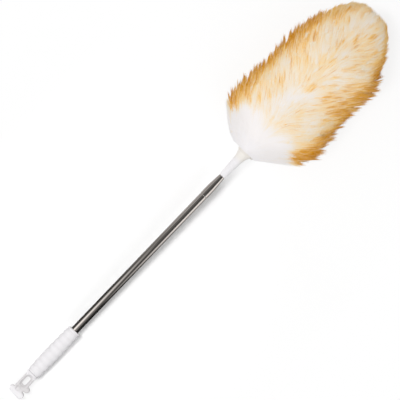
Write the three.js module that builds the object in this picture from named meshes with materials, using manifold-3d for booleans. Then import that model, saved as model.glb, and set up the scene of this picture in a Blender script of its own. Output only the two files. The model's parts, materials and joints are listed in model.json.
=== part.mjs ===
// Extendable lambswool duster: a fluffy head on a pole of three nested tubes with twist locks.
// It is drawn pushed in and lying on a floor. Units are millimetres, and +Z is up.
// In the pole's own group x runs along the pole, from the hanging end to the tip of the wool.
import * as THREE from 'three';
import { mergeVertices } from 'three/addons/utils/BufferGeometryUtils.js';
import Module from 'manifold-3d';

const wasm = await Module();
wasm.setup();

// Pole: chromed tube a little over half an inch wide, and the tubes that run inside it
const POLE_DIAMETER = 13.4;
const TUBE_WALL = 0.4;
const MOUTH_ROLL = 0.6;
const MOUTH_LENGTH = 4;
const RUNNING_GAP = 0.25;
const SEAT_GAP = 0.3;
const PRESS_GAP = 0.15;
const SIDES = 32;

// Stations along the pole
const GRIP_START = 46;
const GRIP_END = 142;
const OUTER_START = 62;
const OUTER_MOUTH = 441;
const MIDDLE_MOUTH = 453;
const FERRULE_SHOULDER = 458;
const FERRULE_END = 484;
const BELL_START = 522;
const BELL_RIM = 538;
const WOOL_LENGTH = 306;

// Grip
const GRIP_END_RADIUS = 11.2;
const GRIP_BARREL = 1.3;
const GRIP_BANDS = 8;
const BAND_DEPTH = 1;
const BAND_STEPS = 4;
const LIP_LENGTH = 4;
const LIP_RADIUS = 11;
const BAND_START = GRIP_START + 2;
const BAND_LENGTH = (GRIP_END - LIP_LENGTH - BAND_START) / GRIP_BANDS;

// Hanging end
const HANGER_ROOT = 45;
const HANGER_HALF_WIDTH = 9;
const ARM_START = 13.5;
const HANGER_THICKNESS = 12.4;
const HANGER_EDGE = 2.2;
const SHOULDER_RADIUS = 10.2;
const SLOT_SPAN = [22, 38];
const SLOT_HALF_WIDTH = 3.6;
const SLOT_CORNER = 3;
const SCOOP_SPAN = [24, 35];
const SCOOP_RADIUS = 7;
const SCOOP_DEPTH = 4.2;
const DIMPLE = { x: 12.6, y: 1.4, radius: 5.2, depth: 3.4 };

// Knobs of the hanging end in order round its outline: place, radius, and the arc that shows in degrees
const KNOBS = [
  { x: 19.4, y: -11, radius: 4.8, from: 20, to: -200 },
  { x: 6.2, y: -8.8, radius: 5.8, from: 10, to: -180 },
  { x: 7, y: 8.2, radius: 5.2, from: 180, to: -5 },
];

// Twist lock: an off-centre journal under each tube, with a split ring round it
const LOCK_HEAD = 2.4;
const LOCK_RING = 11;
const LOCK_FLANGE = 2;
const LOCK_SPIGOT = 12;
const LOCK_OFFSET = 0.5;
const LOCK_PLAY = 0.5;
const SLIT_WIDTH = 1.2;
const SLEEVE_LENGTH = 25;

// Ferrule, neck and the head's core
const FERRULE_RADIUS = POLE_DIAMETER / 2 + 0.25;
const FERRULE_TIP_RADIUS = 5.1;
const NECK_START = FERRULE_END + SEAT_GAP;
const NECK_RADIUS = 5.85;
const BELL_START_RADIUS = 7.9;
const BELL_WAIST_RADIUS = 10.1;
const BELL_RADIUS = 12.6;
const BELL_THROAT_RADIUS = 8.9;
const BELL_WALL = 0.9;
const TUBE_SOCKET_END = 506;
const ROD_SOCKET_START = 512;
const ROD_RADIUS = 6;
const ROD_END = 806;
const TACK_HOLE = 1.2;
const HEM_START = 529;
const HEM_RADIUS = 7.25;
const HEM_GROOVE_RADIUS = 6.8;
const HIDE_RADIUS = 12.2;
const HIDE_END = 820;
const CORE_SIDES = 24;

// Wool: its outline from above as stations and half-widths, how it leans from side to side, and its locks
const WOOL_START = BELL_RIM - 3.5;
const WOOL_OUTLINE = [
  [WOOL_START, 14.5], [542, 24], [551, 36], [576, 69], [602, 82], [658, 81], [735, 80], [781, 66], [820, 46],
  [837, 27], [BELL_RIM + WOOL_LENGTH, 0],
];
const BASE_LEAN = 0.12;
const BODY_LEAN = -0.02;
const LEAN_SPAN = [BELL_RIM + 10, BELL_RIM + 60];
const WOOL_LOFT = 0.82;
const UNDERSIDE_BULGE = 0.8;
const WOOL_SAG = 1.25;
const LOCKS_ROUND = 8;
const LOCK_LENGTH = 80;
const SWELL_HEIGHT = 2.5;
const FULL_SWELL_RADIUS = 30;
const WOOL_SIDES = 40;
const WOOL_RINGS = 30;

// Lie on the floor: the wool sinks until the pole's axis is this high under the middle of the head
const AXIS_AT_HEAD = 38;
const HEAD_MIDDLE = 690;

const FINISH = {
  plastic: { color: 0xf2f0f0, roughness: 0.38, metalness: 0 },
  chrome: { color: 0xc9c6c2, roughness: 0.12, metalness: 1 },
  nylon: { color: 0xd9d7cf, roughness: 0.55, metalness: 0 },
  steel: { color: 0xa8a8a6, roughness: 0.35, metalness: 1 },
  wood: { color: 0xc9a877, roughness: 0.7, metalness: 0 },
  hide: { color: 0xe6d9c4, roughness: 0.85, metalness: 0 },
  wool: { color: 0xefe0c2, roughness: 0.95, metalness: 0 },
};

// Closed skin of a geometry: welded points, without the slivers that a revolve leaves on its axis
function weld(geometry) {
  geometry.deleteAttribute('normal');
  geometry.deleteAttribute('uv');
  const skin = mergeVertices(geometry, 1e-4);
  const kept = [];
  for (let i = 0; i < skin.index.count; i += 3) {
    const [a, b, c] = [skin.index.getX(i), skin.index.getX(i + 1), skin.index.getX(i + 2)];
    if (a !== b && b !== c && c !== a) kept.push(a, b, c);
  }
  skin.setIndex(kept);
  skin.computeVertexNormals();
  return skin;
}

function toSolid(geometry) {
  const skin = weld(geometry);
  return new wasm.Manifold(new wasm.Mesh({
    numProp: 3,
    vertProperties: new Float32Array(skin.attributes.position.array),
    triVerts: new Uint32Array(skin.index.array),
  }));
}

function fromSolid(solid) {
  const { vertProperties, triVerts } = solid.getMesh();
  const geometry = new THREE.BufferGeometry();
  geometry.setAttribute('position', new THREE.BufferAttribute(vertProperties, 3));
  geometry.setIndex(new THREE.BufferAttribute(triVerts, 1));
  geometry.computeVertexNormals();
  return geometry;
}

// Revolves [x, radius] points round the pole's axis
function revolve(profile, sides = SIDES) {
  const points = profile.map(([x, radius]) => new THREE.Vector2(radius, x));
  return weld(new THREE.LatheGeometry(points, sides).rotateZ(-Math.PI / 2));
}

// Plain round bar between two stations, off the axis by an amount along y
function bar(start, end, radius, offset = 0) {
  return revolve([[start, 0], [start, radius], [end, radius], [end, 0]]).translate(0, offset, 0);
}

function roundedRectangle(path, [left, right], [bottom, top], radius) {
  path.absarc(right - radius, bottom + radius, radius, -Math.PI / 2, 0);
  path.absarc(right - radius, top - radius, radius, 0, Math.PI / 2);
  path.absarc(left + radius, top - radius, radius, Math.PI / 2, Math.PI);
  path.absarc(left + radius, bottom + radius, radius, Math.PI, 1.5 * Math.PI);
  path.closePath();
  return path;
}

// Each tube's radii: its skin, its bore and its rolled mouth
function tubeSize(radius) {
  const bore = radius - TUBE_WALL;
  return { radius, bore, mouth: bore - MOUTH_ROLL };
}

const outer = tubeSize(POLE_DIAMETER / 2);
const middle = tubeSize(outer.mouth - RUNNING_GAP);
const inner = tubeSize(middle.mouth - RUNNING_GAP);

// Stations of a twist lock, from its head up to the end of the spigot in the tube that carries it
function lockStations(start) {
  const ring = start + LOCK_HEAD + RUNNING_GAP;
  const flange = ring + LOCK_RING + RUNNING_GAP;
  const tube = flange + LOCK_FLANGE + SEAT_GAP;
  return { start, ring, flange, tube, end: tube + LOCK_SPIGOT };
}

const STOP_STEM_END = OUTER_START + 6;
const STOP_FLANGE_END = OUTER_START - SEAT_GAP;
const STOP_FLANGE_START = STOP_FLANGE_END - 1.6;
const SPIGOT_END = STOP_FLANGE_START - SEAT_GAP;
const lowerLock = lockStations(STOP_STEM_END + RUNNING_GAP);
const upperLock = lockStations(lowerLock.end + RUNNING_GAP);

// A lock's radii, from the bore that its ring jams in and the tube that its plug fills
function lockSize(sleeve, tube) {
  const ring = sleeve.bore - RUNNING_GAP;
  const journal = ring / 2;
  return {
    ring,
    journal,
    ringBore: journal + LOCK_PLAY,
    head: tube.bore - PRESS_GAP,
    flange: tube.radius,
    spigot: tube.bore - PRESS_GAP,
  };
}

const lowerLockSize = lockSize(outer, middle);
const upperLockSize = lockSize(middle, inner);

function tube(start, end, { radius, bore, mouth }, rolled) {
  const skin = [[start, bore], [start, radius]];
  const plainEnd = [[end, radius], [end, bore]];
  const rolledEnd = [
    [end - MOUTH_LENGTH / 3, radius],
    [end - TUBE_WALL, radius - TUBE_WALL / 3],
    [end, radius - TUBE_WALL],
    [end, mouth],
    [end - MOUTH_LENGTH / 3, mouth],
    [end - MOUTH_LENGTH, bore],
  ];
  return revolve([...skin, ...(rolled ? rolledEnd : plainEnd), [start, bore]]);
}

function lockPlug(at, size) {
  const weldIn = 0.5;
  const chamfer = 0.7;
  const head = toSolid(bar(at.start, at.start + LOCK_HEAD, size.head));
  const journal = bar(at.start + weldIn, at.flange + weldIn, size.journal, LOCK_OFFSET);
  const spigot = revolve([
    [at.flange, 0],
    [at.flange, size.flange],
    [at.flange + LOCK_FLANGE, size.flange],
    [at.flange + LOCK_FLANGE, size.spigot],
    [at.end - chamfer, size.spigot],
    [at.end, size.spigot - chamfer],
    [at.end, 0],
  ]);
  return fromSolid(head.add(toSolid(journal)).add(toSolid(spigot)));
}

// Split ring: thick on one side, because its bore follows the off-centre journal
function lockRing(at, { ring, ringBore }) {
  const half = SLIT_WIDTH / 2;
  const outside = Math.asin(half / ring);
  const shape = new THREE.Shape();
  shape.absarc(0, 0, ring, outside, 2 * Math.PI - outside);
  const lower = Math.asin((-half - LOCK_OFFSET) / ringBore);
  const upper = Math.asin((half - LOCK_OFFSET) / ringBore);
  shape.absarc(0, LOCK_OFFSET, ringBore, lower, upper, true);
  shape.closePath();
  const settings = { depth: LOCK_RING, bevelEnabled: false, curveSegments: SIDES / 2 };
  return weld(new THREE.ExtrudeGeometry(shape, settings).rotateY(Math.PI / 2).translate(at.ring, 0, 0));
}

// Nylon sleeve that steadies a tube in the next one out, and meets its rolled mouth at full reach
function guideSleeve(at, sleeve, carrier) {
  const start = at.tube + 1;
  const end = start + SLEEVE_LENGTH;
  const outside = sleeve.bore - RUNNING_GAP;
  const inside = carrier.radius + PRESS_GAP;
  return revolve([[start, inside], [start, outside], [end, outside], [end, inside], [start, inside]]);
}

function tubeStop() {
  const stem = outer.bore - PRESS_GAP;
  const chamfer = 0.8;
  return revolve([
    [STOP_FLANGE_START, 0],
    [STOP_FLANGE_START, outer.radius],
    [STOP_FLANGE_END, outer.radius],
    [STOP_FLANGE_END, stem],
    [STOP_STEM_END - chamfer, stem],
    [STOP_STEM_END, stem - chamfer],
    [STOP_STEM_END, 0],
  ]);
}

// Barrel of the grip, widest half-way along
function gripBarrel(x) {
  return GRIP_END_RADIUS + GRIP_BARREL * Math.sin((Math.PI * (x - GRIP_START)) / (GRIP_END - GRIP_START));
}

// Grip: rounded finger bands between a lower end that is flush with the hanging end and a lip at the mouth
function handleGrip() {
  const bore = outer.radius + SEAT_GAP;
  const lipStart = GRIP_END - LIP_LENGTH;
  const edge = 0.3;
  const profile = [
    [GRIP_START, bore],
    [GRIP_START, SHOULDER_RADIUS - edge],
    [GRIP_START + edge, SHOULDER_RADIUS],
    [GRIP_START + 3 * edge, SHOULDER_RADIUS],
  ];
  for (let step = 0; step <= GRIP_BANDS * BAND_STEPS; step++) {
    const x = BAND_START + (step * BAND_LENGTH) / BAND_STEPS;
    const swell = Math.sin((Math.PI * (step % BAND_STEPS)) / BAND_STEPS);
    profile.push([x, gripBarrel(x) - BAND_DEPTH * (1 - swell)]);
  }
  profile.push([lipStart + 0.5, LIP_RADIUS], [GRIP_END - 0.9, LIP_RADIUS], [GRIP_END, LIP_RADIUS - 0.9]);
  profile.push([GRIP_END, bore], [GRIP_START, bore]);
  return revolve(profile);
}

// Outline of the hanging end from above: two arms that run out into three knobs
function hangerOutline() {
  const outline = new THREE.Shape();
  outline.moveTo(HANGER_ROOT, HANGER_HALF_WIDTH);
  outline.lineTo(HANGER_ROOT, -HANGER_HALF_WIDTH);
  for (const { x, y, radius, from, to } of KNOBS) {
    outline.absarc(x, y, radius, THREE.MathUtils.degToRad(from), THREE.MathUtils.degToRad(to), true);
  }
  outline.lineTo(ARM_START, HANGER_HALF_WIDTH);
  outline.closePath();
  return outline;
}

// Hanging end: a round-edged plate with a slot at the bottom of a scoop, a dimple and a spigot in the grip
function hangLoop() {
  const plan = hangerOutline();
  const slotSides = [-SLOT_HALF_WIDTH, SLOT_HALF_WIDTH];
  plan.holes.push(roundedRectangle(new THREE.Path(), SLOT_SPAN, slotSides, SLOT_CORNER));
  const plate = new THREE.ExtrudeGeometry(plan, {
    depth: HANGER_THICKNESS - 2 * HANGER_EDGE,
    bevelThickness: HANGER_EDGE,
    bevelSize: HANGER_EDGE,
    bevelOffset: -HANGER_EDGE,
    bevelSegments: 2,
    curveSegments: 6,
  }).translate(0, 0, HANGER_EDGE - HANGER_THICKNESS / 2);
  const shoulder = revolve([
    [HANGER_ROOT - 5, 0],
    [HANGER_ROOT - 5, 0.6 * SHOULDER_RADIUS],
    [HANGER_ROOT - 3.6, 0.86 * SHOULDER_RADIUS],
    [HANGER_ROOT - 2, SHOULDER_RADIUS],
    [GRIP_START - SEAT_GAP, SHOULDER_RADIUS],
    [GRIP_START - SEAT_GAP, 0],
  ]);
  const spigot = bar(GRIP_START - 1, SPIGOT_END, outer.radius);
  const [scoopStart, scoopEnd] = SCOOP_SPAN;
  const scoop = new THREE.CapsuleGeometry(SCOOP_RADIUS, scoopEnd - scoopStart, 3, 16)
    .rotateZ(Math.PI / 2)
    .translate((scoopStart + scoopEnd) / 2, 0, HANGER_THICKNESS / 2 + SCOOP_RADIUS - SCOOP_DEPTH);
  const dimple = new THREE.SphereGeometry(DIMPLE.radius, 16, 10)
    .translate(DIMPLE.x, DIMPLE.y, HANGER_THICKNESS / 2 + DIMPLE.radius - DIMPLE.depth);
  const whole = toSolid(plate).add(toSolid(shoulder)).add(toSolid(spigot));
  return fromSolid(whole.subtract(toSolid(scoop)).subtract(toSolid(dimple)));
}

// Ferrule: hollow at its foot, where it covers the mouth of the middle tube
function ferrule() {
  const start = OUTER_MOUTH + SEAT_GAP;
  const edge = 0.4;
  const bore = inner.radius + SEAT_GAP;
  const cover = middle.radius + 2 * SEAT_GAP;
  const coverEnd = MIDDLE_MOUTH + 2;
  return revolve([
    [start, cover],
    [start, FERRULE_RADIUS - edge],
    [start + edge, FERRULE_RADIUS],
    [FERRULE_SHOULDER, FERRULE_RADIUS],
    [FERRULE_SHOULDER + 2, FERRULE_RADIUS - edge / 4],
    [FERRULE_END - edge, FERRULE_TIP_RADIUS],
    [FERRULE_END, FERRULE_TIP_RADIUS - edge],
    [FERRULE_END, bore],
    [coverEnd + 1.5, bore],
    [coverEnd, cover],
    [start, cover],
  ]);
}

// Neck: sockets for the inner tube and the rod, and a bell round the hem of the hide
function neck() {
  const flare = new THREE.SplineCurve([
    new THREE.Vector2(NECK_START + 0.8, NECK_RADIUS),
    new THREE.Vector2(0.6 * NECK_START + 0.4 * BELL_START, NECK_RADIUS + 0.65),
    new THREE.Vector2(BELL_START, BELL_START_RADIUS),
    new THREE.Vector2(0.45 * BELL_START + 0.55 * BELL_RIM, BELL_WAIST_RADIUS),
    new THREE.Vector2(BELL_RIM - 0.6, BELL_RADIUS),
  ]).getPoints(10).map(({ x, y }) => [x, y]);
  const tubeSocket = inner.radius + SEAT_GAP;
  const rodSocket = ROD_RADIUS + SEAT_GAP;
  return revolve([
    [TUBE_SOCKET_END, 0],
    [TUBE_SOCKET_END, tubeSocket],
    [NECK_START, tubeSocket],
    [NECK_START, NECK_RADIUS - 0.6],
    ...flare,
    [BELL_RIM, BELL_RADIUS - 0.3],
    [BELL_RIM, BELL_RADIUS - BELL_WALL],
    [HEM_START + 2.5, BELL_THROAT_RADIUS],
    [HEM_START - 1.5, HEM_RADIUS],
    [HEM_START - 1.5, rodSocket],
    [ROD_SOCKET_START, rodSocket],
    [ROD_SOCKET_START, 0],
  ]);
}

function coreRod() {
  return revolve([
    [ROD_SOCKET_START + SEAT_GAP, 0],
    [ROD_SOCKET_START + SEAT_GAP, ROD_RADIUS],
    [ROD_END - 3, ROD_RADIUS],
    [ROD_END - 0.8, ROD_RADIUS - 1],
    [ROD_END, ROD_RADIUS - 3],
    [ROD_END, TACK_HOLE],
    [ROD_END - 12, TACK_HOLE],
    [ROD_END - 12, 0],
  ], CORE_SIDES);
}

// Hide sleeve: clamped at its hem, then as thick as the wound skin, and drawn shut at the tip
function pelt() {
  const inside = ROD_RADIUS + SEAT_GAP;
  return revolve([
    [HEM_START, inside],
    [HEM_START, HEM_RADIUS],
    [HEM_START + 1.5, HEM_GROOVE_RADIUS],
    [HEM_START + 3, HEM_GROOVE_RADIUS],
    [HEM_START + 4.5, HEM_RADIUS],
    [BELL_RIM, HEM_RADIUS + 1],
    [BELL_RIM + 10, HIDE_RADIUS],
    [HIDE_END - 20, HIDE_RADIUS],
    [HIDE_END - 8, 0.85 * HIDE_RADIUS],
    [HIDE_END - 2, 0.53 * HIDE_RADIUS],
    [HIDE_END, 0.25 * HIDE_RADIUS],
    [HIDE_END, TACK_HOLE],
    [ROD_END + SEAT_GAP, TACK_HOLE],
    [ROD_END + SEAT_GAP, ROD_RADIUS - 2],
    [ROD_END - 2, inside],
    [HEM_START, inside],
  ], CORE_SIDES);
}

function hemRing() {
  const wire = 0.6;
  const steps = 6;
  const centre = HEM_GROOVE_RADIUS + SEAT_GAP + wire;
  const section = Array.from({ length: steps + 1 }, (_, step) => {
    const turn = (-2 * Math.PI * (step % steps)) / steps;
    return [HEM_START + 2.25 + wire * Math.cos(turn), centre + wire * Math.sin(turn)];
  });
  return revolve(section, CORE_SIDES);
}

function tipTack() {
  const shank = TACK_HOLE - SEAT_GAP;
  const under = HIDE_END + SEAT_GAP;
  const rim = 3.6;
  return revolve([
    [ROD_END - 11, 0],
    [ROD_END - 8, shank],
    [under, shank],
    [under, rim],
    [under + 0.8, rim],
    [under + 1.8, rim / 2],
    [under + 2.1, 0],
  ], CORE_SIDES);
}

// The pole leans from the first finger band, which lies on the floor, up to the head
const touch = BAND_START + BAND_LENGTH / 2;
const LEAN = Math.atan2(AXIS_AT_HEAD - gripBarrel(touch), HEAD_MIDDLE - touch);
const floorAtZero = gripBarrel(touch) / Math.cos(LEAN) - touch * Math.tan(LEAN);

// Height of the pole's axis over the floor, square to the axis
function axisHeight(x) {
  return floorAtZero + x * Math.tan(LEAN);
}

// How far the wool's locks swell at a place: two slanting waves that cross
function swelling(x, turn) {
  const along = (2 * Math.PI * (x - BELL_RIM)) / LOCK_LENGTH;
  return SWELL_HEIGHT * Math.sin(LOCKS_ROUND * turn + along / 2) * Math.sin(along - 3 * turn);
}

// How much wider the wool is on its left than its right, as a share: left at the base, then right
function sideLean(x) {
  return THREE.MathUtils.lerp(BASE_LEAN, BODY_LEAN, THREE.MathUtils.smoothstep(x, ...LEAN_SPAN));
}

// Wool: the outline seen from above, revolved, then swollen, lowered in height and flattened on the floor
function fleece() {
  const cover = BELL_RADIUS + 0.4;
  const coverEnd = BELL_RIM + 0.4;
  const bore = HIDE_RADIUS + SEAT_GAP;
  const boreEnd = HIDE_END + 3;
  const outline = new THREE.SplineCurve(WOOL_OUTLINE.map(([x, width]) => new THREE.Vector2(x, width)));
  const outside = outline.getSpacedPoints(WOOL_RINGS).map(({ x, y }) => [x, Math.max(y, 0)]);
  const inside = [[boreEnd, 0], [boreEnd, bore], [coverEnd, bore], [coverEnd, cover], [WOOL_START, cover]];
  const wool = revolve([[WOOL_START, cover], ...outside, ...inside], WOOL_SIDES);
  const place = wool.attributes.position;
  for (let i = 0; i < place.count; i++) {
    const [x, y, z] = [place.getX(i), place.getY(i), place.getZ(i)];
    const radius = Math.hypot(y, z);
    if (radius < bore + 1) continue;
    const fade = Math.min(1, (radius - bore) / FULL_SWELL_RADIUS);
    const swell = 1 + (fade * swelling(x, Math.atan2(y, z))) / radius;
    const under = axisHeight(x);
    const down = (Math.max(0, -z) / radius) ** UNDERSIDE_BULGE;
    const depth = Math.min(WOOL_LOFT * radius, WOOL_SAG * under) * down;
    const across = y * swell * (1 + Math.sign(y) * sideLean(x));
    place.setXYZ(i, x, across, z > 0 ? z * swell * WOOL_LOFT : -Math.min(depth, under));
  }
  wool.computeVertexNormals();
  return wool;
}

function piece(name, geometry, finish) {
  const mesh = new THREE.Mesh(geometry, new THREE.MeshStandardMaterial({ ...FINISH[finish], name: finish }));
  mesh.name = name;
  return mesh;
}

function section(...members) {
  return new THREE.Group().add(...members);
}

const head = section(
  piece('neck', neck(), 'plastic'),
  piece('core_rod', coreRod(), 'wood'),
  piece('pelt', pelt(), 'hide'),
  piece('hem_ring', hemRing(), 'steel'),
  piece('tip_tack', tipTack(), 'steel'),
  piece('fleece', fleece(), 'wool'),
);

const innerSection = section(
  piece('upper_lock_ring', lockRing(upperLock, upperLockSize), 'nylon'),
  piece('upper_lock_plug', lockPlug(upperLock, upperLockSize), 'nylon'),
  piece('upper_guide_sleeve', guideSleeve(upperLock, middle, inner), 'nylon'),
  piece('inner_tube', tube(upperLock.tube, TUBE_SOCKET_END - SEAT_GAP, inner, false), 'chrome'),
  piece('ferrule', ferrule(), 'chrome'),
  head,
);

const middleSection = section(
  piece('lower_lock_ring', lockRing(lowerLock, lowerLockSize), 'nylon'),
  piece('lower_lock_plug', lockPlug(lowerLock, lowerLockSize), 'nylon'),
  piece('lower_guide_sleeve', guideSleeve(lowerLock, outer, middle), 'nylon'),
  piece('middle_tube', tube(lowerLock.tube, MIDDLE_MOUTH, middle, true), 'chrome'),
  innerSection,
);

const pole = section(
  piece('hang_loop', hangLoop(), 'plastic'),
  piece('handle_grip', handleGrip(), 'plastic'),
  piece('tube_stop', tubeStop(), 'nylon'),
  piece('outer_tube', tube(OUTER_START, OUTER_MOUTH, outer, true), 'chrome'),
  middleSection,
);

// Lean the pole so that the wool and the grip both rest on the floor, with the origin under its middle
pole.rotation.y = -LEAN;
const duster = section(pole);
const extent = new THREE.Box3().setFromObject(duster, true);
const middlePoint = extent.getCenter(new THREE.Vector3());
pole.position.set(-middlePoint.x, -middlePoint.y, -extent.min.z);

export default duster;
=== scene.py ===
"""Extendable lambswool duster: smooth shells, finishes and wool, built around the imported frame."""
import json
import math
from contextlib import contextmanager
from functools import partial

import bmesh
import bpy
import numpy as np
from bpy.props import FloatProperty, FloatVectorProperty, IntProperty, PointerProperty
from bpy.types import Operator, Panel, PropertyGroup
from mathutils import Matrix, Vector
from mathutils.kdtree import KDTree


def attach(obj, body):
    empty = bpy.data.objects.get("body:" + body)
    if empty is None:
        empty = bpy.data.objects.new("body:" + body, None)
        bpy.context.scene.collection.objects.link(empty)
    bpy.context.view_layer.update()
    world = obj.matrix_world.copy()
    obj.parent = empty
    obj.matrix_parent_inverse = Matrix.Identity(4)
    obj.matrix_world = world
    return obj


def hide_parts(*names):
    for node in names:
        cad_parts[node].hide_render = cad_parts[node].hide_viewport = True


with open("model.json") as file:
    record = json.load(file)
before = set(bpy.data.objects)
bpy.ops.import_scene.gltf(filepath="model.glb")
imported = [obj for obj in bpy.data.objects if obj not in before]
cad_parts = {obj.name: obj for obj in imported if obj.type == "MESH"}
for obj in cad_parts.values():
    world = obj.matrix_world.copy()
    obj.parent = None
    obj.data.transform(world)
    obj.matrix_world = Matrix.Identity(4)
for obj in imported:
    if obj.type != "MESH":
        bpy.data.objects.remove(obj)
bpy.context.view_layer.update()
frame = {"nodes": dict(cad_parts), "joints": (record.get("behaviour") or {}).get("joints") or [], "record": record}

bl_info = {
    "name": "Extendable Duster",
    "version": (1, 0, 0),
    "blender": (4, 5, 0),
    "location": "3D View > Sidebar > Duster",
    "description": "Dresses the frame of an extendable lambswool duster: plastic, chrome, wool and stage",
    "category": "Object",
}

FIBRE_MAP = "OFBake"
MM = 0.001

# Bodies and material slots of the solids, from the record
BODY_OF = {node: body for body, nodes in frame["record"]["behaviour"]["bodies"].items() for node in nodes}
SLOT_OF = {part["node"]: part["material_slot"] for part in frame["record"]["subparts"]}

# The pole's own axes, from the joint that the head twists on
TWIST = next(joint for joint in frame["joints"] if joint["name"] == "upper_twist")
PIVOT = Vector(TWIST["pos_m"])
ALONG = Vector(TWIST["axis"]).normalized()
ACROSS = Vector((0, 1, 0))
UP = ALONG.cross(ACROSS)
POLE_AXES = np.array([ALONG, ACROSS, UP])


def pole_points(node):
    """A solid's points along, across and up from the pole, in metres from the twist joint."""
    points = np.array([vertex.co for vertex in frame["nodes"][node].data.vertices])
    return (points - np.array(PIVOT)) @ POLE_AXES.T


def row_points(points):
    """Points in the pole's axes, in metres, brought back to the row frame."""
    return points @ POLE_AXES + np.array(PIVOT)


TAIL = pole_points("hang_loop")[:, 0].min()
RIM = pole_points("neck")[:, 0].max()


def rim_points(points):
    """Points in the pole's axes, in millimetres from the bell's rim, brought back to the row frame."""
    return row_points(points * MM + np.array([RIM, 0, 0]))


# Shader expressions

def math_pair(operation):
    """The two methods of an operator: for a value on its left, and the reflected one."""

    def forward(self, other):
        return self.math(operation, self, other)

    def reflected(self, other):
        return self.math(operation, other, self)

    return forward, reflected


class Value:
    """A shader socket in an expression: arithmetic on it adds Math nodes to its tree."""

    __add__, __radd__ = math_pair("ADD")
    __sub__, __rsub__ = math_pair("SUBTRACT")
    __mul__, __rmul__ = math_pair("MULTIPLY")
    __truediv__, __rtruediv__ = math_pair("DIVIDE")

    def __init__(self, nodes, socket):
        self.nodes = nodes
        self.socket = socket

    def math(self, operation, first, second=0.0, clamp=False):
        settings = {"operation": operation, "use_clamp": clamp}
        return self.nodes.add("ShaderNodeMath", settings, {0: first, 1: second})

    def swing(self, period):
        """0 at each whole period, 1 halfway between them, and straight between those."""
        return self.math("PINGPONG", self / period, 0.5) * 2

    def ramp(self, start, end):
        """0 before start, 1 after end, and straight between them."""
        return self.math("MULTIPLY", self - start, 1 / (end - start), clamp=True)


class Nodes:
    """A node tree that is built by adding nodes and writing expressions on their values."""

    def __init__(self, tree):
        self.tree = tree

    def feed(self, socket, value):
        if isinstance(value, Value):
            self.tree.links.new(value.socket, socket)
        else:
            socket.default_value = value

    def add(self, kind, settings=None, inputs=None, output=0):
        """Adds a node: its settings first, then the values or links of its sockets."""
        node = self.tree.nodes.new(kind)
        for name, value in (settings or {}).items():
            setattr(node, name, value)
        for name, value in (inputs or {}).items():
            self.feed(node.inputs[name], value)
        return Value(self, node.outputs[output]) if node.outputs else None

    def mix(self, factor, first, second):
        """Mixes two colours."""
        return self.add("ShaderNodeMix", {"data_type": "RGBA"}, {0: factor, 6: first, 7: second}, output=2)

    def place(self):
        """Where a point is in its object, which is the row frame at rest, in metres."""
        return self.add("ShaderNodeTexCoord", output="Object")

    def noise(self, place, scale, detail=2.0):
        inputs = {"Vector": place, "Scale": scale, "Detail": detail}
        return self.add("ShaderNodeTexNoise", {}, inputs, output="Fac")

    def speckle(self, scale, detail=2.0):
        """Noise that is alike in every direction, by its scale per metre."""
        return self.noise(self.place(), scale, detail)

    def part(self, vector, axis):
        """A vector's X, Y or Z."""
        return self.add("ShaderNodeSeparateXYZ", {}, {0: vector}, output=axis)

    def fibre(self):
        """Both values of the wool's map at a point."""
        lie = self.add("ShaderNodeUVMap", {"uv_map": FIBRE_MAP})
        return self.part(lie, "X"), self.part(lie, "Y")

    def along_by(self, axis):
        """A point's distance along an axis, in metres from the origin."""
        inputs = {0: self.place(), 1: axis}
        return self.add("ShaderNodeVectorMath", {"operation": "DOT_PRODUCT"}, inputs, output="Value")

    def station(self, start):
        """How far along the pole a point is from a start, in millimetres."""
        return (self.along_by(ALONG) - (PIVOT.dot(ALONG) + start)) / MM

    def streaks(self, along, across, detail=2.0):
        """Noise that runs along the pole, by its scales per metre along and across it."""
        scaled = {
            "X": self.along_by(ALONG) * along,
            "Y": self.along_by(ACROSS) * across,
            "Z": self.along_by(UP) * across,
        }
        return self.noise(self.add("ShaderNodeCombineXYZ", {}, scaled), 1.0, detail)


class Finish(Nodes):
    """A material with one Principled shader, whose plain values are set on its own sockets."""

    def __init__(self, name, **plain):
        self.material = bpy.data.materials.new(name)
        self.material.use_nodes = True
        super().__init__(self.material.node_tree)
        self.shader = self.tree.nodes["Principled BSDF"]
        for socket, value in plain.items():
            self.shader.inputs[socket.replace("_", " ").title().replace("Ior", "IOR")].default_value = value

    def surface(self, socket, value):
        self.feed(self.shader.inputs[socket], value)

    def relief(self, height, strength, distance):
        """Bumps the surface by a height, whose full range stands for a distance in metres."""
        inputs = {"Height": height, "Strength": strength, "Distance": distance}
        self.surface("Normal", self.add("ShaderNodeBump", {}, inputs, output="Normal"))

    def two_toned(self, pattern, tones, contrast=(0.0, 1.0), **bump):
        """Colours the surface by a pattern, which may also be its relief, and gives the material."""
        self.surface("Base Color", self.mix(pattern.ramp(*contrast), *tones))
        if bump:
            self.relief(pattern, **bump)
        return self.material


def opaque(colour):
    return (*colour, 1.0)


def shade(colour, factor):
    return opaque([channel * factor for channel in colour])


# Finishes

# Where the plastics change colour along the pole, in millimetres from the tail and from the bell's rim
PALM_FADES = ((50, 110),)
HANGER_FADES = ((7, 14), (41, 36))
BELL_FADES = ((-22, -12),)
GRIP_BANDS = (48.0, 11.25)

# Tones of the finishes: how much duller the grip's lower end is, how much painted shade the grip's grooves get,
# the grey that the mottle mixes toward, and the two colours of each inner piece
PALM_SHADE = 0.985
GROOVE_PAINTED_SHADE = 0.96
MOTTLE = (0.6, 0.6, 0.6, 1)
NYLON = ((0.78, 0.76, 0.70, 1), (0.66, 0.64, 0.58, 1))
STEEL = ((0.42, 0.42, 0.41, 1), (0.30, 0.30, 0.29, 1))
WOOD = ((0.58, 0.40, 0.20, 1), (0.36, 0.21, 0.09, 1))
HIDE = ((0.80, 0.70, 0.54, 1), (0.62, 0.50, 0.34, 1))


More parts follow.
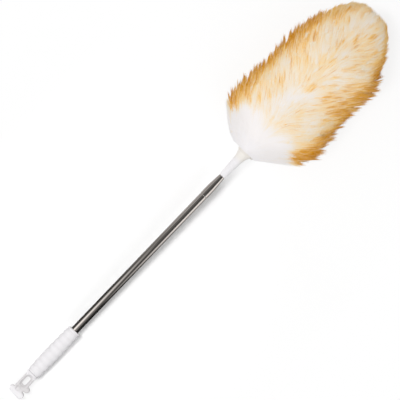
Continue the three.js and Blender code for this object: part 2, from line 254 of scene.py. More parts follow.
def moulded_plastic(name, looks, start, fades, colours, bands=None):
    """Moulded plastic with a fine grain, whose colour changes along the pole, and whose grooves get painted shade.
    """
    finish = Finish(name, coat_weight=0.08, coat_roughness=0.2)
    mottle = finish.speckle(scale=55.0, detail=3.0)
    grain = finish.speckle(scale=1600.0)
    changed = math.prod(finish.station(start).ramp(*fade) for fade in fades)
    plain = finish.mix(changed, opaque(colours[0]), opaque(colours[1]))
    if bands:
        first, pitch = bands
        # Painted shade in the grooves, one pitch apart, fading to the plain colour on the crests between them
        crest = (finish.station(start) - first).swing(pitch)
        plain = finish.mix(crest, shade(colours[0], GROOVE_PAINTED_SHADE), plain)
    finish.surface("Base Color", finish.mix(0.08 * mottle.ramp(0.35, 0.7), plain, MOTTLE))
    finish.surface("Roughness", looks.roughness - 0.05 + 0.1 * mottle)
    finish.relief(grain, strength=0.12, distance=0.05 * MM)
    return finish.material


def grip_plastic(looks):
    """White plastic of the grip, a trace duller at its lower end, where the palm is."""
    dull = [PALM_SHADE * channel for channel in looks.colour]
    return moulded_plastic("grip_plastic", looks, TAIL, PALM_FADES, (dull, looks.colour), GRIP_BANDS)


def hanger_plastic(looks):
    """Plastic of the hanging end: white at its tail, and a darker grey between the knobs and the grip."""
    return moulded_plastic("hanger_plastic", looks, TAIL, HANGER_FADES, (looks.colour, looks.plate_grey))


def neck_plastic(looks):
    """White plastic of the neck, tinted warmer round the bell."""
    return moulded_plastic("neck_plastic", looks, RIM, BELL_FADES, (looks.colour, looks.tinted))


def bright_chrome(looks):
    """Chromed steel tube: drawn lines along it, light smudges, and a hint of warmth."""
    finish = Finish("bright_chrome", metallic=1.0)
    drawn = finish.streaks(along=3.0, across=2600.0)
    smudge = finish.speckle(scale=30.0, detail=4.0)
    finish.surface("Base Color", finish.mix(smudge, opaque(looks.chrome), shade(looks.chrome, 0.93)))
    finish.surface("Roughness", looks.chrome_roughness + 0.03 * drawn + 0.04 * smudge.ramp(0.55, 0.75))
    finish.relief(drawn, strength=0.03, distance=0.01 * MM)
    return finish.material


def moulded_nylon():
    """Natural nylon of the locks and sleeves: waxy, with flow marks."""
    finish = Finish("moulded_nylon", roughness=0.5)
    flow = finish.streaks(along=60.0, across=500.0, detail=3.0)
    return finish.two_toned(flow, NYLON, strength=0.1, distance=0.05 * MM)


def plain_steel():
    """Steel of the hem ring and the tack: grey, with a drawn surface."""
    finish = Finish("plain_steel", metallic=1.0)
    drawn = finish.speckle(scale=2200.0)
    finish.surface("Roughness", 0.28 + 0.2 * drawn)
    return finish.two_toned(drawn, STEEL)


def dowel_wood():
    """Unvarnished dowel: pale wood with grain along the rod."""
    finish = Finish("dowel_wood", roughness=0.7)
    grain = finish.streaks(along=9.0, across=700.0, detail=6.0)
    return finish.two_toned(grain, WOOD, contrast=(0.3, 0.7), strength=0.2, distance=0.1 * MM)


def tanned_hide():
    """Flesh side of the sheepskin: pale suede with a loose nap."""
    finish = Finish("tanned_hide", roughness=0.9)
    nap = finish.speckle(scale=420.0, detail=6.0)
    return finish.two_toned(nap, HIDE, strength=0.4, distance=0.4 * MM)


def lambswool(looks):
    """Wool fibre: u of its map is how strongly it is dyed, and v runs from its root to its tip."""
    finish = Finish("lambswool", roughness=0.85, specular_ior_level=0.12)
    dye, reach = finish.fibre()
    dipped = 1.06 - 0.72 * dye
    cream = reach.ramp(0.25, 0.9) * (0.03 + 1.7 * dye).ramp(0.0, 1.0)
    ochre = (reach - dipped).ramp(-0.1, 0.3) * dye.ramp(0.2, 0.75)
    brown = (reach - dipped).ramp(0.16, 0.44) * dye.ramp(0.55, 0.9)
    white_to_cream = finish.mix(cream, opaque(looks.root), opaque(looks.cream))
    dyed = finish.mix(ochre, white_to_cream, opaque(looks.ochre))
    tipped = finish.mix(brown, dyed, opaque(looks.tip))
    own_tone = {"W": dye, "Scale": 900.0}
    strand = finish.add("ShaderNodeTexNoise", {"noise_dimensions": "1D"}, own_tone, output="Fac")
    bleached = 0.65 * strand.ramp(0.54, 0.68) * dye.ramp(0.0, 0.6)
    faded = finish.mix(bleached, tipped, opaque(looks.cream))
    dusty = 0.1 * strand.ramp(0.3, 0.6) * (1 - dye.ramp(0.3, 0.8))
    finish.surface("Base Color", finish.mix(dusty, faded, shade(looks.root, 0.7)))
    return finish.material


def wool_roots(looks):
    """Undercoat below the locks: matted roots, white at the base and creamier up the head."""
    finish = Finish("wool_roots", roughness=0.95)
    around, station = finish.fibre()
    matted = finish.streaks(along=90.0, across=260.0, detail=6.0)
    lie = finish.add("ShaderNodeCombineXYZ", {}, {"X": 170 * around, "Y": 9 * station})
    combed = finish.noise(lie, scale=1.0)
    cream = station.ramp(0.15, 0.4) * matted.ramp(0.3, 0.75)
    streaked = finish.mix(combed.ramp(0.35, 0.75), opaque(looks.root), shade(looks.root, 0.9))
    below = (1 - around.swing(1.0)).ramp(0.36, 0.5) * station.ramp(0.1, 0.2)
    pale = finish.mix(cream, streaked, opaque(looks.cream))
    dyed_below = below * (0.55 + 0.45 * matted)
    finish.surface("Base Color", finish.mix(dyed_below, pale, shade(looks.ochre, 0.85)))
    finish.relief(matted, strength=0.6, distance=3.0 * MM)
    return finish.material


def cotton_tape(looks):
    """Cotton tape of the wool's hem: pale, with a fine twill."""
    finish = Finish("cotton_tape", roughness=0.85)
    twill = finish.streaks(along=900.0, across=2200.0)
    tones = opaque(looks.tape), shade(looks.tape, 0.86)
    return finish.two_toned(twill, tones, contrast=(0.3, 0.7), strength=0.3, distance=0.1 * MM)


def sewing_thread(looks):
    """Thread of the hem's stitches: dark grey, with a darker twist."""
    finish = Finish("sewing_thread", roughness=0.7)
    twist = finish.speckle(scale=3000.0)
    tones = opaque(looks.thread), shade(looks.thread, 0.6)
    return finish.two_toned(twist, tones, contrast=(0.3, 0.7))


# Shells

# How widely edges are rounded, the angle from which an edge is sharp, and what counts as no distance
GRIP_EDGE = 0.3 * MM
NECK_EDGE = 0.25 * MM
HEM_EDGE = 0.2 * MM
SHARP = math.radians(28)
NO_DISTANCE = 0.01 * MM


def add_piece(name, mesh):
    piece = bpy.data.objects.new(name, mesh)
    bpy.context.scene.collection.objects.link(piece)
    return piece


@contextmanager
def editing(mesh):
    """A mesh's own points and faces to edit, which then go back into it."""
    body = bmesh.new()
    body.from_mesh(mesh)
    yield body
    body.to_mesh(mesh)
    body.free()


def settle(piece):
    """Applies a piece's modifiers, so that its own mesh is the finished one."""
    evaluated = piece.evaluated_get(bpy.context.evaluated_depsgraph_get())
    piece.data = bpy.data.meshes.new_from_object(evaluated)
    piece.modifiers.clear()


def finish_piece(piece, material, node, stands_for=True):
    """Gives a piece its material, and the body of a solid, which it may stand for."""
    piece.data.materials.clear()
    piece.data.materials.append(material)
    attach(piece, BODY_OF[node])
    if stands_for:
        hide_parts(node)


def meridian(node):
    """A revolved solid's station and radius points, in order from its edges, and whether they close."""
    points = pole_points(node)
    on_plane = (abs(points[:, 1]) < NO_DISTANCE) & (points[:, 2] > -NO_DISTANCE)
    keys = [tuple(np.round(point[[0, 2]], 6)) for point in points]
    links = {}
    for edge in frame["nodes"][node].data.edges:
        first, second = edge.vertices
        if on_plane[first] and on_plane[second] and keys[first] != keys[second]:
            links.setdefault(keys[first], set()).add(keys[second])
            links.setdefault(keys[second], set()).add(keys[first])
    ends = [key for key, near in links.items() if len(near) == 1]
    walk = [min(ends) if ends else min(links)]
    while True:
        onward = [key for key in sorted(links[walk[-1]]) if key not in walk]
        if not onward:
            break
        walk.append(onward[0])
    if len(walk) != len(links):
        raise RuntimeError(f"the outline of {node} is broken: {len(walk)} of {len(links)} points")
    return walk, not ends


def revolve(name, outline, closed, sides):
    """Revolves station and radius points round the pole, as quads that can be bevelled and smoothed."""
    turns = [2 * math.pi * side / sides for side in range(sides)]
    points, rings = [], []
    for station, radius in outline:
        if radius < NO_DISTANCE:
            rings.append([len(points)] * sides)
            points.append((station, 0.0, 0.0))
        else:
            rings.append(list(range(len(points), len(points) + sides)))
            points.extend((station, radius * math.sin(turn), radius * math.cos(turn)) for turn in turns)
    faces = []
    pairs = list(zip(rings, rings[1:] + rings[:1] if closed else rings[1:]))
    for ring, onward in pairs:
        for side in range(sides):
            beside = (side + 1) % sides
            corners = [ring[side], ring[beside], onward[beside], onward[side]]
            faces.append(list(dict.fromkeys(corners)))
    mesh = bpy.data.meshes.new(name)
    mesh.from_pydata(row_points(np.array(points)).tolist(), [], [face for face in faces if len(face) > 2])
    with editing(mesh) as body:
        bmesh.ops.recalc_face_normals(body, faces=body.faces)
    mesh.shade_smooth()
    return add_piece(name, mesh)


def soften_edges(piece, width, smooth_levels=0):
    """Rounds a piece's sharp edges, and smooths what lies between them if asked."""
    bevel = piece.modifiers.new("rounded_edges", "BEVEL")
    bevel.width = width
    bevel.segments = 2
    bevel.limit_method = "ANGLE"
    bevel.angle_limit = SHARP
    bevel.harden_normals = smooth_levels == 0
    if smooth_levels:
        smooth = piece.modifiers.new("smooth", "SUBSURF")
        smooth.levels = smooth.render_levels = smooth_levels
    settle(piece)


def revolved_piece(name, node, material, sides, edge, smooth_levels=0):
    """Revolves a solid's outline again, with more sides and softer edges, as a piece that stands for it."""
    piece = revolve(name, *meridian(node), sides)
    soften_edges(piece, edge, smooth_levels)
    finish_piece(piece, material, node)


def moulded_copy(name, node, voxel, rounds):
    """A solid's skin closed over at a fine pitch and eased, as a moulding's edges are."""
    mesh = frame["nodes"][node].data.copy()
    with editing(mesh) as body:
        bmesh.ops.remove_doubles(body, verts=body.verts, dist=0.001 * MM)
    piece = add_piece(name, mesh)
    skin = piece.modifiers.new("skin", "REMESH")
    skin.mode = "VOXEL"
    skin.voxel_size = voxel
    skin.use_smooth_shade = True
    ease = piece.modifiers.new("eased", "SMOOTH")
    ease.factor = 0.5
    ease.iterations = rounds
    settle(piece)
    return piece


# Wool, in millimetres: stations run forward from the bell's rim, and a turn of 0 is straight up

LEFT_OUTLINE = [
    (-0.5, 15), (1.5, 27), (4, 36), (13, 50), (26, 65), (38, 80), (64, 89), (90, 88), (128, 84), (180, 85),
    (205, 82), (243, 73), (282, 50), (298, 34), (304, 20), (306, 0),
]
RIGHT_OUTLINE = [
    (-0.5, 14.5), (4, 24), (13, 36), (26, 53), (38, 75), (64, 92), (105, 93), (128, 88), (180, 88),
    (217, 90), (243, 75), (282, 49), (298, 30), (304, 17), (306, 0),
]
WOOL_START, WOOL_END = LEFT_OUTLINE[0][0], LEFT_OUTLINE[-1][0]
LOFT = 0.8
FLOOR_CLEARANCE = 0.5
UNDERSIDE_PILE = 5.0
UNDERSIDE = math.radians(125)

# Stretches of the head where something changes: the stations where each starts and ends, or rises and falls
SNUG_BASE = (12, 40)
LIT_CONE = (25, 60)
RIGHT_SHOULDER = ((35, 55), (90, 125))
WARMER_BODY = (90, 190)
LEFT_FLANK = ((165, 185), (195, 215))
LIT_DOME = (210, 290)
SLIMMER_ROOTS = (225, 290)
PALER_TIP = (235, 290)
CROWDED_TIP = (270, 300)
LOOSE_TIP = (275, 295)
ROUNDED_ROOTS = (282, 297)

# A lock: how far out its root and tip are, as shares of the outside, where it bends, and the least turn of
# its root from the parting, in radians
ROOT_DEPTH = 0.62
TIP_REACH = 0.985
BEND = 0.45
PARTING = 0.03

# How far the first and last tips, and the undercoat's ends, are from the ends of the wool
TIP_MARGINS = (13, 0.5)
UNDERCOAT_MARGINS = (0.2, 8.8)

# How long the patches of dye are, the radius at which turns count for them, and how far a tuft reaches
PATCH_LENGTHS = (30, 85)
PATCH_RADIUS = 75
TUFT_REACH = 6


def step_up(value, start, end):
    """0 before start, 1 after end, and smooth between them."""
    t = np.clip((value - start) / (end - start), 0, 1)
    return t * t * (3 - 2 * t)


def step_down(value, start, end):
    """1 before start, 0 after end, and smooth between them."""
    return step_up(-value, -end, -start)


def within(value, rise, fall):
    """1 between two stretches, 0 outside them, and smooth over each."""
    return step_up(value, *rise) * step_down(value, *fall)


def smooth_through(points):
    """A smooth function through pairs of a station and a value."""
    stations, values = np.array(points, float).T
    slopes = np.gradient(values, stations)

    def at(station):
        left = np.clip(np.searchsorted(stations, station) - 1, 0, len(stations) - 2)
        span = stations[left + 1] - stations[left]
        t = np.clip((station - stations[left]) / span, 0, 1)
        start = values[left] * (1 + 2 * t) + slopes[left] * span * t
        end = values[left + 1] * (3 - 2 * t) - slopes[left + 1] * span * (1 - t)
        return np.maximum(start * (1 - t) ** 2 + end * t ** 2, 0)

    return at


left_width = smooth_through(LEFT_OUTLINE)
right_width = smooth_through(RIGHT_OUTLINE)


def mean_width(station):
    return (left_width(station) + right_width(station)) / 2


def floor_below(station):
    """How far the floor is below the pole's axis at a station."""
    from_pivot = station + RIM / MM
    return (PIVOT.z / MM + from_pivot * ALONG.z) / UP.z


def shell(station, turn, scale):
    """Points of the wool's outside, drawn in to a scale: along, across and up from the pole."""
    width = np.where(np.sin(turn) > 0, left_width(station), right_width(station))
    across = scale * width * np.sin(turn)
    rise = np.cos(turn)
    height = scale * LOFT * mean_width(station) * np.sign(rise) * abs(rise) ** np.where(rise > 0, 1.0, 0.7)
    return np.stack([station, across, np.maximum(height, FLOOR_CLEARANCE - floor_below(station))], axis=-1)


def unit(vectors):
    return vectors / np.maximum(np.linalg.norm(vectors, axis=-1, keepdims=True), 1e-9)


def outward(station, turn):
    """The way that the wool's outside faces."""
    step, tilt = 1.0, 0.02
    inside = np.clip(station, WOOL_START + step, WOOL_END - step)
    ahead = shell(inside + step, turn, 1.0) - shell(inside - step, turn, 1.0)
    around = shell(inside, turn + tilt, 1.0) - shell(inside, turn - tilt, 1.0)
    return unit(np.cross(ahead, around))


def snug(station):
    """How closely the locks lie against the head: wholly by the bell, and not at all up the body."""
    return step_down(station, *SNUG_BASE)


def scatter_locks(count, rng):
    """Tips of wool locks spread evenly over the outside, with fewer under the head: stations and turns."""
    grid = np.linspace(WOOL_START + TIP_MARGINS[0], WOOL_END - TIP_MARGINS[1], 600)
    width = mean_width(grid)
    crowded = 1 + 1.2 * step_up(grid, *CROWDED_TIP)
    area = np.cumsum(crowded * width * np.hypot(1, np.gradient(width, grid)))
    drawn = rng.random((2, 3 * count))
    station = np.interp(drawn[0], area / area[-1], grid)
    turn = (2 * drawn[1] - 1) * math.pi
    kept = rng.random(3 * count) < np.where(abs(turn) < UNDERSIDE, 1.0, 0.45)
    return station[kept][:count], turn[kept][:count]


def patches(station, turn, rng):
    """A smooth random pattern over the wool, mostly within -1 and 1, in patches a few centimetres long."""
    around = turn * PATCH_RADIUS
    waves = 10
    total = 0
    for _ in range(waves):
        heading, phase = rng.uniform(0, 2 * math.pi, 2)
        place = station * math.cos(heading) + around * math.sin(heading)
        total = total + np.sin(2 * math.pi * place / rng.uniform(*PATCH_LENGTHS) + phase)
    return total / math.sqrt(waves)


def lock_dye(station, turn, blotch, golden, rng):
    """How strongly each lock is dyed: dark along both sides, streaked on top, and white on the cone."""
    edge = np.where(abs(turn) > math.pi / 2, 1.0, abs(np.sin(turn)))
    right = np.sin(turn) < 0
    wider_right = 0.53 - 0.3 * within(station, *RIGHT_SHOULDER)
    wider_left = 0.54 - 0.2 * within(station, *LEFT_FLANK)
    start = np.where(right, wider_right, wider_left)
    sides = step_up(edge + 0.06 * blotch, start, 1.0) * rng.uniform(0.8, 1.0, len(turn))
    warm = 0.15 * step_up(station, *WARMER_BODY) + 0.07 * step_up(edge, 0.35, 0.6)
    top = 0.19 + warm + 0.1 * blotch + golden + rng.normal(0, 0.05, len(turn))
    tip = step_up(station, *PALER_TIP)
    dye = np.maximum(sides * (1 - np.where(right, 0.25, 0.5) * tip), top - 0.05 * tip)
    on_top = np.maximum(np.cos(turn), 0) ** 2
    white_to = np.where(right, 32 + 26 * on_top, 35 + 18 * on_top)
    fade = np.where(right, 20 + 14 * on_top, 18)
    return np.clip(dye, 0, 1) * step_up(station + 5 * blotch, white_to, white_to + fade)


def draw_to_tufts(station, turn, looks, rng):
    """Draws lock tips together in tufts, most along the sides: stations, turns, tufts and distances."""
    tuft_station, tuft_turn = scatter_locks(looks.tufts, rng)
    tree = KDTree(looks.tufts)
    for number, place in enumerate(zip(tuft_station, tuft_turn)):
        tree.insert((place[0], mean_width(place[0]) * place[1], 0), number)
    tree.balance()
    found = [tree.find((along, mean_width(along) * around, 0)) for along, around in zip(station, turn)]
    tuft = np.array([number for _, number, _ in found])
    apart = np.array([distance for _, _, distance in found])
    beside = abs(np.sin(turn)) ** 4
    pull = (0.3 + 0.4 * beside) * (1 - 0.85 * step_up(station, *LOOSE_TIP))
    station = station + pull * (tuft_station[tuft] - station)
    turn = turn + pull * (tuft_turn[tuft] - turn)
    return station, turn, tuft, np.minimum(apart / TUFT_REACH, 1.5)


def comb_locks(looks, rng):
    """Locks from root to tip: three points of each lock's curve, its facing, dye, station and turn."""
    station, turn, tuft, apart = draw_to_tufts(*scatter_locks(looks.locks, rng), looks, rng)
    beside = abs(np.sin(turn)) ** 4
    sweep = looks.sweep / MM * rng.normal(1.0, 0.12, len(turn))
    longer = np.clip(rng.normal(0, 1, looks.tufts), -2, 1.4)[tuft]
    tucked = 0.07 * step_up(-np.cos(turn), 0.0, 0.35)
    reach = TIP_REACH + longer * (0.006 + 0.022 * beside) - apart * (0.012 + 0.03 * beside) - tucked
    root_station = np.maximum(station - sweep, WOOL_START + 1)
    on_top = np.maximum(np.cos(turn), 0) ** 2
    parted = np.maximum(abs(turn) - looks.comb * (0.15 + 0.85 * on_top), PARTING) * np.sign(turn)
    highest = 0.8 + 0.18 * snug(root_station)
    depth = np.minimum(ROOT_DEPTH * mean_width(station) / mean_width(root_station), highest)
    root = shell(root_station, parted, depth)
    middle_station = root_station + BEND * (station - root_station)
    height = np.maximum(0.8 + 0.14 * on_top, snug(middle_station))
    middle = shell(middle_station, parted + BEND * (turn - parted), height)
    tip = shell(station, turn, reach)
    blotch = patches(station, turn, rng) + 0.2 * rng.normal(0, 1, looks.tufts)[tuft]
    golden_tufts = (rng.random(looks.tufts) < 0.06)[tuft]
    golden_locks = rng.random(len(turn)) < 0.08 + 0.3 * np.sin(turn) ** 2
    golden = 0.3 * (golden_tufts | golden_locks)
    return {
        "curve": (root, middle, tip),
        "facing": outward(station, turn),
        "dye": lock_dye(station, turn, blotch, golden, rng),
        "station": station,
        "turn": turn,
    }


# Strands: the most in one mesh, where each has its rings and its tip, the rings' corners and sizes, how far
# strands lift from their lock, and the half width of the head where they spread fully
LARGEST_MESH = 11000
STRAND_STEPS = (0.06, 0.42, 0.74, 1.0)
STRAND_TURNS = np.radians([90, 210, 330])
STRAND_TAPER = (1.0, 0.9, 0.62)
STRAND_LIFT = 0.9
FULL_SPREAD = 60


def strand_faces():
    """Faces of one strand: three sides between its rings, three to its tip and one at its root."""
    faces = []
    for ring in (0, 3):
        for side in range(3):
            beside = (side + 1) % 3
            faces.append((ring + side, ring + beside, ring + 3 + beside, ring + 3 + side))
    faces.extend((6 + side, 6 + (side + 1) % 3, 9) for side in range(3))
    faces.append((2, 1, 0))
    return faces


def soft_light(station, turn, facing):
    """How far a place is on the upper side, and the way it shades: light sinks into pile, so all look up."""
    dome = step_up(station, *LIT_DOME)
    cone = step_down(station, *LIT_CONE)
    rise = np.cos(turn)
    above = np.maximum(step_up(rise, -0.4, 0.15), dome * step_up(rise, -0.7, 0.0))[:, None]
    upward = 1.1 + 0.9 * dome + 0.7 * cone
    return above, unit(facing + np.array([0, 0.2, 1]) * above * upward[:, None])


def draw_strands(locks, chosen, looks, rng):
    """Points, shading directions and fibre map of the strands in the chosen locks, in the pole's axes."""
    index = np.repeat(chosen, looks.strands)
    count = len(index)
    root, middle, tip = (points[index] for points in locks["curve"])
    facing = locks["facing"][index]
    beside = unit(np.cross(tip - middle, facing))
    room = np.minimum(mean_width(root[:, 0]) / FULL_SPREAD, 1)
    spread = rng.normal(0, looks.lock_width / MM / 2, count) * room
    lift = rng.normal(0, STRAND_LIFT, count)
    length = np.clip(rng.normal(0.98, 0.07, count), 0.8, 1.06)
    phase = rng.random(len(locks["turn"]))[index] + rng.normal(0, 0.05, count)
    line = []
    for step in STRAND_STEPS:
        t = (step * length)[:, None]
        curve = root * (1 - t) ** 2 + 2 * middle * t * (1 - t) + tip * t ** 2
        gather = 1 - 0.55 * step ** 1.5
        wave = looks.wave / MM * step * np.sin(2 * math.pi * (1.3 * step + phase))
        sideways = beside * (spread * gather + wave)[:, None]
        line.append(curve + sideways + facing * (lift * gather)[:, None])
    above, lit = soft_light(tip[:, 0], locks["turn"][index], facing)
    smoothing = 0.3 + 2.0 * above
    points, normals = [], []
    for ring, taper in enumerate(STRAND_TAPER):
        forward = unit(line[ring + 1] - line[ring])
        first = unit(beside - forward * (beside * forward).sum(axis=1, keepdims=True))
        second = np.cross(forward, first)
        for turn in STRAND_TURNS:
            spoke = math.cos(turn) * first + math.sin(turn) * second
            points.append(line[ring] + spoke * (taper * looks.strand_radius / MM))
            normals.append(unit(spoke + smoothing * lit))
    points.append(line[3])
    normals.append(lit)
    points = np.stack(points, axis=1)
    layer = 0.8 * UNDERSIDE_PILE * (phase % 1)
    ground = FLOOR_CLEARANCE + layer[:, None] - floor_below(points[..., 0])
    points[..., 2] = np.maximum(points[..., 2], ground)
    own_dye = locks["dye"][index] * rng.normal(1, 0.28, count) + rng.normal(0, 0.03, count)
    dye = np.clip(own_dye, 0.01, 0.99)
    steps = np.repeat(STRAND_STEPS, [3, 3, 3, 1])
    fibre = np.stack([np.repeat(dye[:, None], len(steps), axis=1), np.tile(steps, (count, 1))], axis=-1)
    return points, np.stack(normals, axis=1), fibre


def strand_mesh(name, points, normals, fibre):
    """One mesh of many strands, with the fibre map and smooth shading across each lock."""
    count, per_strand = points.shape[:2]
    faces = strand_faces()
    corners = np.concatenate(faces)
    starts = np.cumsum([0] + [len(face) for face in faces])
    loops = (corners[None, :] + per_strand * np.arange(count)[:, None]).ravel()
    mesh = bpy.data.meshes.new(name)
    mesh.vertices.add(count * per_strand)
    mesh.vertices.foreach_set("co", rim_points(points.reshape(-1, 3)).ravel())
    mesh.loops.add(len(loops))
    mesh.loops.foreach_set("vertex_index", loops)
    mesh.polygons.add(count * len(faces))
    loop_starts = starts[:-1][None, :] + starts[-1] * np.arange(count)[:, None]
    mesh.polygons.foreach_set("loop_start", loop_starts.ravel())
    mesh.update(calc_edges=True)
    mesh.shade_smooth()
    mesh.uv_layers.new(name=FIBRE_MAP).uv.foreach_set("vector", fibre.reshape(-1, 2)[loops].ravel())
    mesh.normals_split_custom_set_from_vertices(normals.reshape(-1, 3) @ POLE_AXES)
    return mesh


def undercoat_mesh(name, rings, sides, scale):
    """A closed skin of matted roots below the locks."""
    first, last = WOOL_START + UNDERCOAT_MARGINS[0], WOOL_END - UNDERCOAT_MARGINS[1]
    stations = first + (last - first) * np.linspace(0, 1, rings) ** 1.5
    turns = np.linspace(-math.pi, math.pi, sides, endpoint=False)
    depth = scale + 0.1 * step_up(np.cos(turns), 0.1, 0.8)
    full = 0.95 * snug(stations)
    slimmer = 1 - 0.22 * step_up(stations, *SLIMMER_ROOTS) - 0.45 * step_up(stations, *ROUNDED_ROOTS)
    grid = [shell(np.full(sides, station), turns, np.maximum(depth * slim, base))
            for station, slim, base in zip(stations, slimmer, full)]
    points = np.concatenate(grid)
    points[:, 2] = np.maximum(points[:, 2], UNDERSIDE_PILE - floor_below(points[:, 0]))
    faces = [tuple(range(sides))[::-1], tuple(range((rings - 1) * sides, rings * sides))]
    for ring in range(rings - 1):
        for side in range(sides):
            beside = (side + 1) % sides
            low, high = ring * sides, (ring + 1) * sides
            faces.append((low + side, low + beside, high + beside, high + side))
    mesh = bpy.data.meshes.new(name)
    mesh.from_pydata(rim_points(points).tolist(), [], faces)
    with editing(mesh) as body:
        bmesh.ops.recalc_face_normals(body, faces=body.faces)
        layer = body.loops.layers.uv.new(FIBRE_MAP)
        for face in body.faces:
            for loop in face.loops:
                ring, side = divmod(loop.vert.index, sides)
                seam = side == 0 and any(corner.vert.index % sides == sides - 1 for corner in face.loops)
                loop[layer].uv = ((side + sides * seam) / sides, ring / (rings - 1))
    mesh.shade_smooth()
    station, turn = np.repeat(stations, sides), np.tile(turns, rings)
    _, lit = soft_light(station, turn, outward(station, turn))
    mesh.normals_split_custom_set_from_vertices(lit @ POLE_AXES)
    return mesh


# Tape that binds the wool's lower edge, in millimetres from the bell's rim: station and radius

HEM_OUTLINE = [(-4.2, 11.3), (-3.0, 12.7), (-1.2, 13.8), (0.6, 14.0), (0.6, 12.9), (-2.0, 12.3)]
SEAM_STATION, SEAM_RADIUS, SEAM_TURN = -0.9, 14.0, math.radians(-88)
SEAM_LUMP = (2.4, 2.6, 1.9)
STITCH_LENGTH, STITCH_RADIUS = 1.6, 0.3
STITCH_FAN = ((-34, 13.7), (-24, 14.3), (-12, 15.4), (0, 16.2), (12, 15.6), (24, 14.4))


def bead_mesh(name, beads):
    """Rounded beads on the hem: each one's station, radius, turn, and half sizes along, around and out."""
    mesh = bpy.data.meshes.new(name)
    with editing(mesh) as body:
        for station, radius, turn, sizes in beads:
            out = np.array([0, math.sin(turn), math.cos(turn)])
            around = np.array([0, math.cos(turn), -math.sin(turn)])
            axes = np.array([[1, 0, 0], around, out]) * np.array(sizes)[:, None] * MM
            place = np.eye(4)
            place[:3, :3] = (axes @ POLE_AXES).T
            place[:3, 3] = rim_points(np.array([station, 0, 0]) + out * radius)
            bmesh.ops.create_icosphere(body, subdivisions=3, radius=1.0, matrix=Matrix(place.tolist()))
        bmesh.ops.recalc_face_normals(body, faces=body.faces)
    mesh.shade_smooth()
    return mesh


# Where the wool is parted into meshes: the ends of its body, and the turns of its crown and underside
BODY_ENDS = (48, 258)
CROWN_TURN, UNDER_TURN = 48, 110


def wool_regions(locks, largest):
    """Names and locks of the parts of the head, so that no part's mesh is too large to export whole."""
    station, turn = locks["station"], np.degrees(locks["turn"])
    cone, dome = station < BODY_ENDS[0], station > BODY_ENDS[1]
    body = ~cone & ~dome
    regions = {
        "wool_cone": cone,
        "wool_dome": dome,
        "wool_crown": body & (abs(turn) < CROWN_TURN),
        "wool_left": body & (turn >= CROWN_TURN) & (turn < UNDER_TURN),
        "wool_right": body & (turn <= -CROWN_TURN) & (turn > -UNDER_TURN),
        "wool_underside": body & (abs(turn) >= UNDER_TURN),
    }
    for name, chosen in regions.items():
        ordered = np.flatnonzero(chosen)[np.argsort(station[chosen])]
        parts = np.array_split(ordered, math.ceil(len(ordered) / largest))
        for number, part in enumerate(parts, 1):
            yield f"{name}_{number}", part


# Settings

ColourProperty = partial(FloatVectorProperty, subtype="COLOR", min=0, max=1)
LengthProperty = partial(FloatProperty, subtype="DISTANCE", unit="LENGTH", precision=5)
AngleProperty = partial(FloatProperty, subtype="ANGLE", unit="ROTATION")
ShareProperty = partial(FloatProperty, subtype="FACTOR", min=0, max=1)


class PlasticSettings(PropertyGroup):
    """White moulded pieces: hanging end, grip and neck."""
    colour: ColourProperty(
        name="Colour", description="Colour of the moulded plastic", default=(0.87, 0.853, 0.872))
    # The hanging end's plate between the knobs and the grip is given this darker grey
    plate_grey: ColourProperty(
        name="Milky", description="Colour of the hanging end's plate", default=(0.70, 0.68, 0.685))
    tinted: ColourProperty(
        name="Tinted", description="Colour of the neck round its bell", default=(0.85, 0.815, 0.765))
    roughness: ShareProperty(name="Roughness", description="How dull the plastic is", default=0.36)
    pitch: LengthProperty(
        name="Skin Pitch", description="Pitch of the hanging end's skin", default=0.4 * MM)
    easing: IntProperty(
        name="Easing", description="Rounds of smoothing on the hanging end's edges", min=0, default=10)
    sides: IntProperty(name="Sides", description="Sides of the revolved mouldings", min=16, default=64)


class PoleSettings(PropertyGroup):
    """Chromed tubes and the ferrule."""
    chrome: ColourProperty(
        name="Chrome", description="Colour that the chrome gives its reflections",
        default=(0.80, 0.775, 0.755))
    chrome_roughness: ShareProperty(
        name="Roughness", description="How blurred the chrome's reflections are", default=0.02)
    sides: IntProperty(name="Sides", description="Sides of the tubes", min=16, default=128)
    edge: LengthProperty(name="Edge", description="Rounding of the tubes' edges", default=0.12 * MM)


class WoolSettings(PropertyGroup):
    """Lambswool pile of the head."""
    root: ColourProperty(
        name="Root", description="Colour of the fibres at their roots", default=(0.85, 0.83, 0.837))
    cream: ColourProperty(
        name="Cream", description="Colour of undyed fibre ends", default=(0.86, 0.695, 0.40))
    ochre: ColourProperty(
        name="Ochre", description="Colour where the dye begins", default=(0.93, 0.54, 0.035))
    tip: ColourProperty(
        name="Tip", description="Colour of the darkest tips", default=(0.61, 0.225, 0.0))
    tape: ColourProperty(
        name="Tape", description="Colour of the hem's tape", default=(0.83, 0.79, 0.74))
    thread: ColourProperty(
        name="Thread", description="Colour of the hem's stitches", default=(0.42, 0.38, 0.34))
    tufts: IntProperty(name="Tufts", description="Tufts that the locks gather in", min=1, default=1500)
    locks: IntProperty(name="Locks", description="Locks of wool over the whole head", min=1, default=11000)
    strands: IntProperty(name="Strands", description="Strands in each lock", min=1, default=8)
    sweep: LengthProperty(
        name="Sweep", description="How far a lock's tip lies ahead of its root", default=36 * MM)
    comb: AngleProperty(
        name="Comb", description="How far the locks on top are combed to the sides",
        default=math.radians(27))
    lock_width: LengthProperty(
        name="Lock Width", description="Width of a lock at its root", default=4 * MM)
    wave: LengthProperty(name="Wave", description="How far a lock waves to its sides", default=0.9 * MM)
    strand_radius: LengthProperty(
        name="Strand Radius", description="Radius of a strand at its root", default=0.3 * MM)
    seed: IntProperty(name="Seed", description="Seed of the locks' places", default=11)


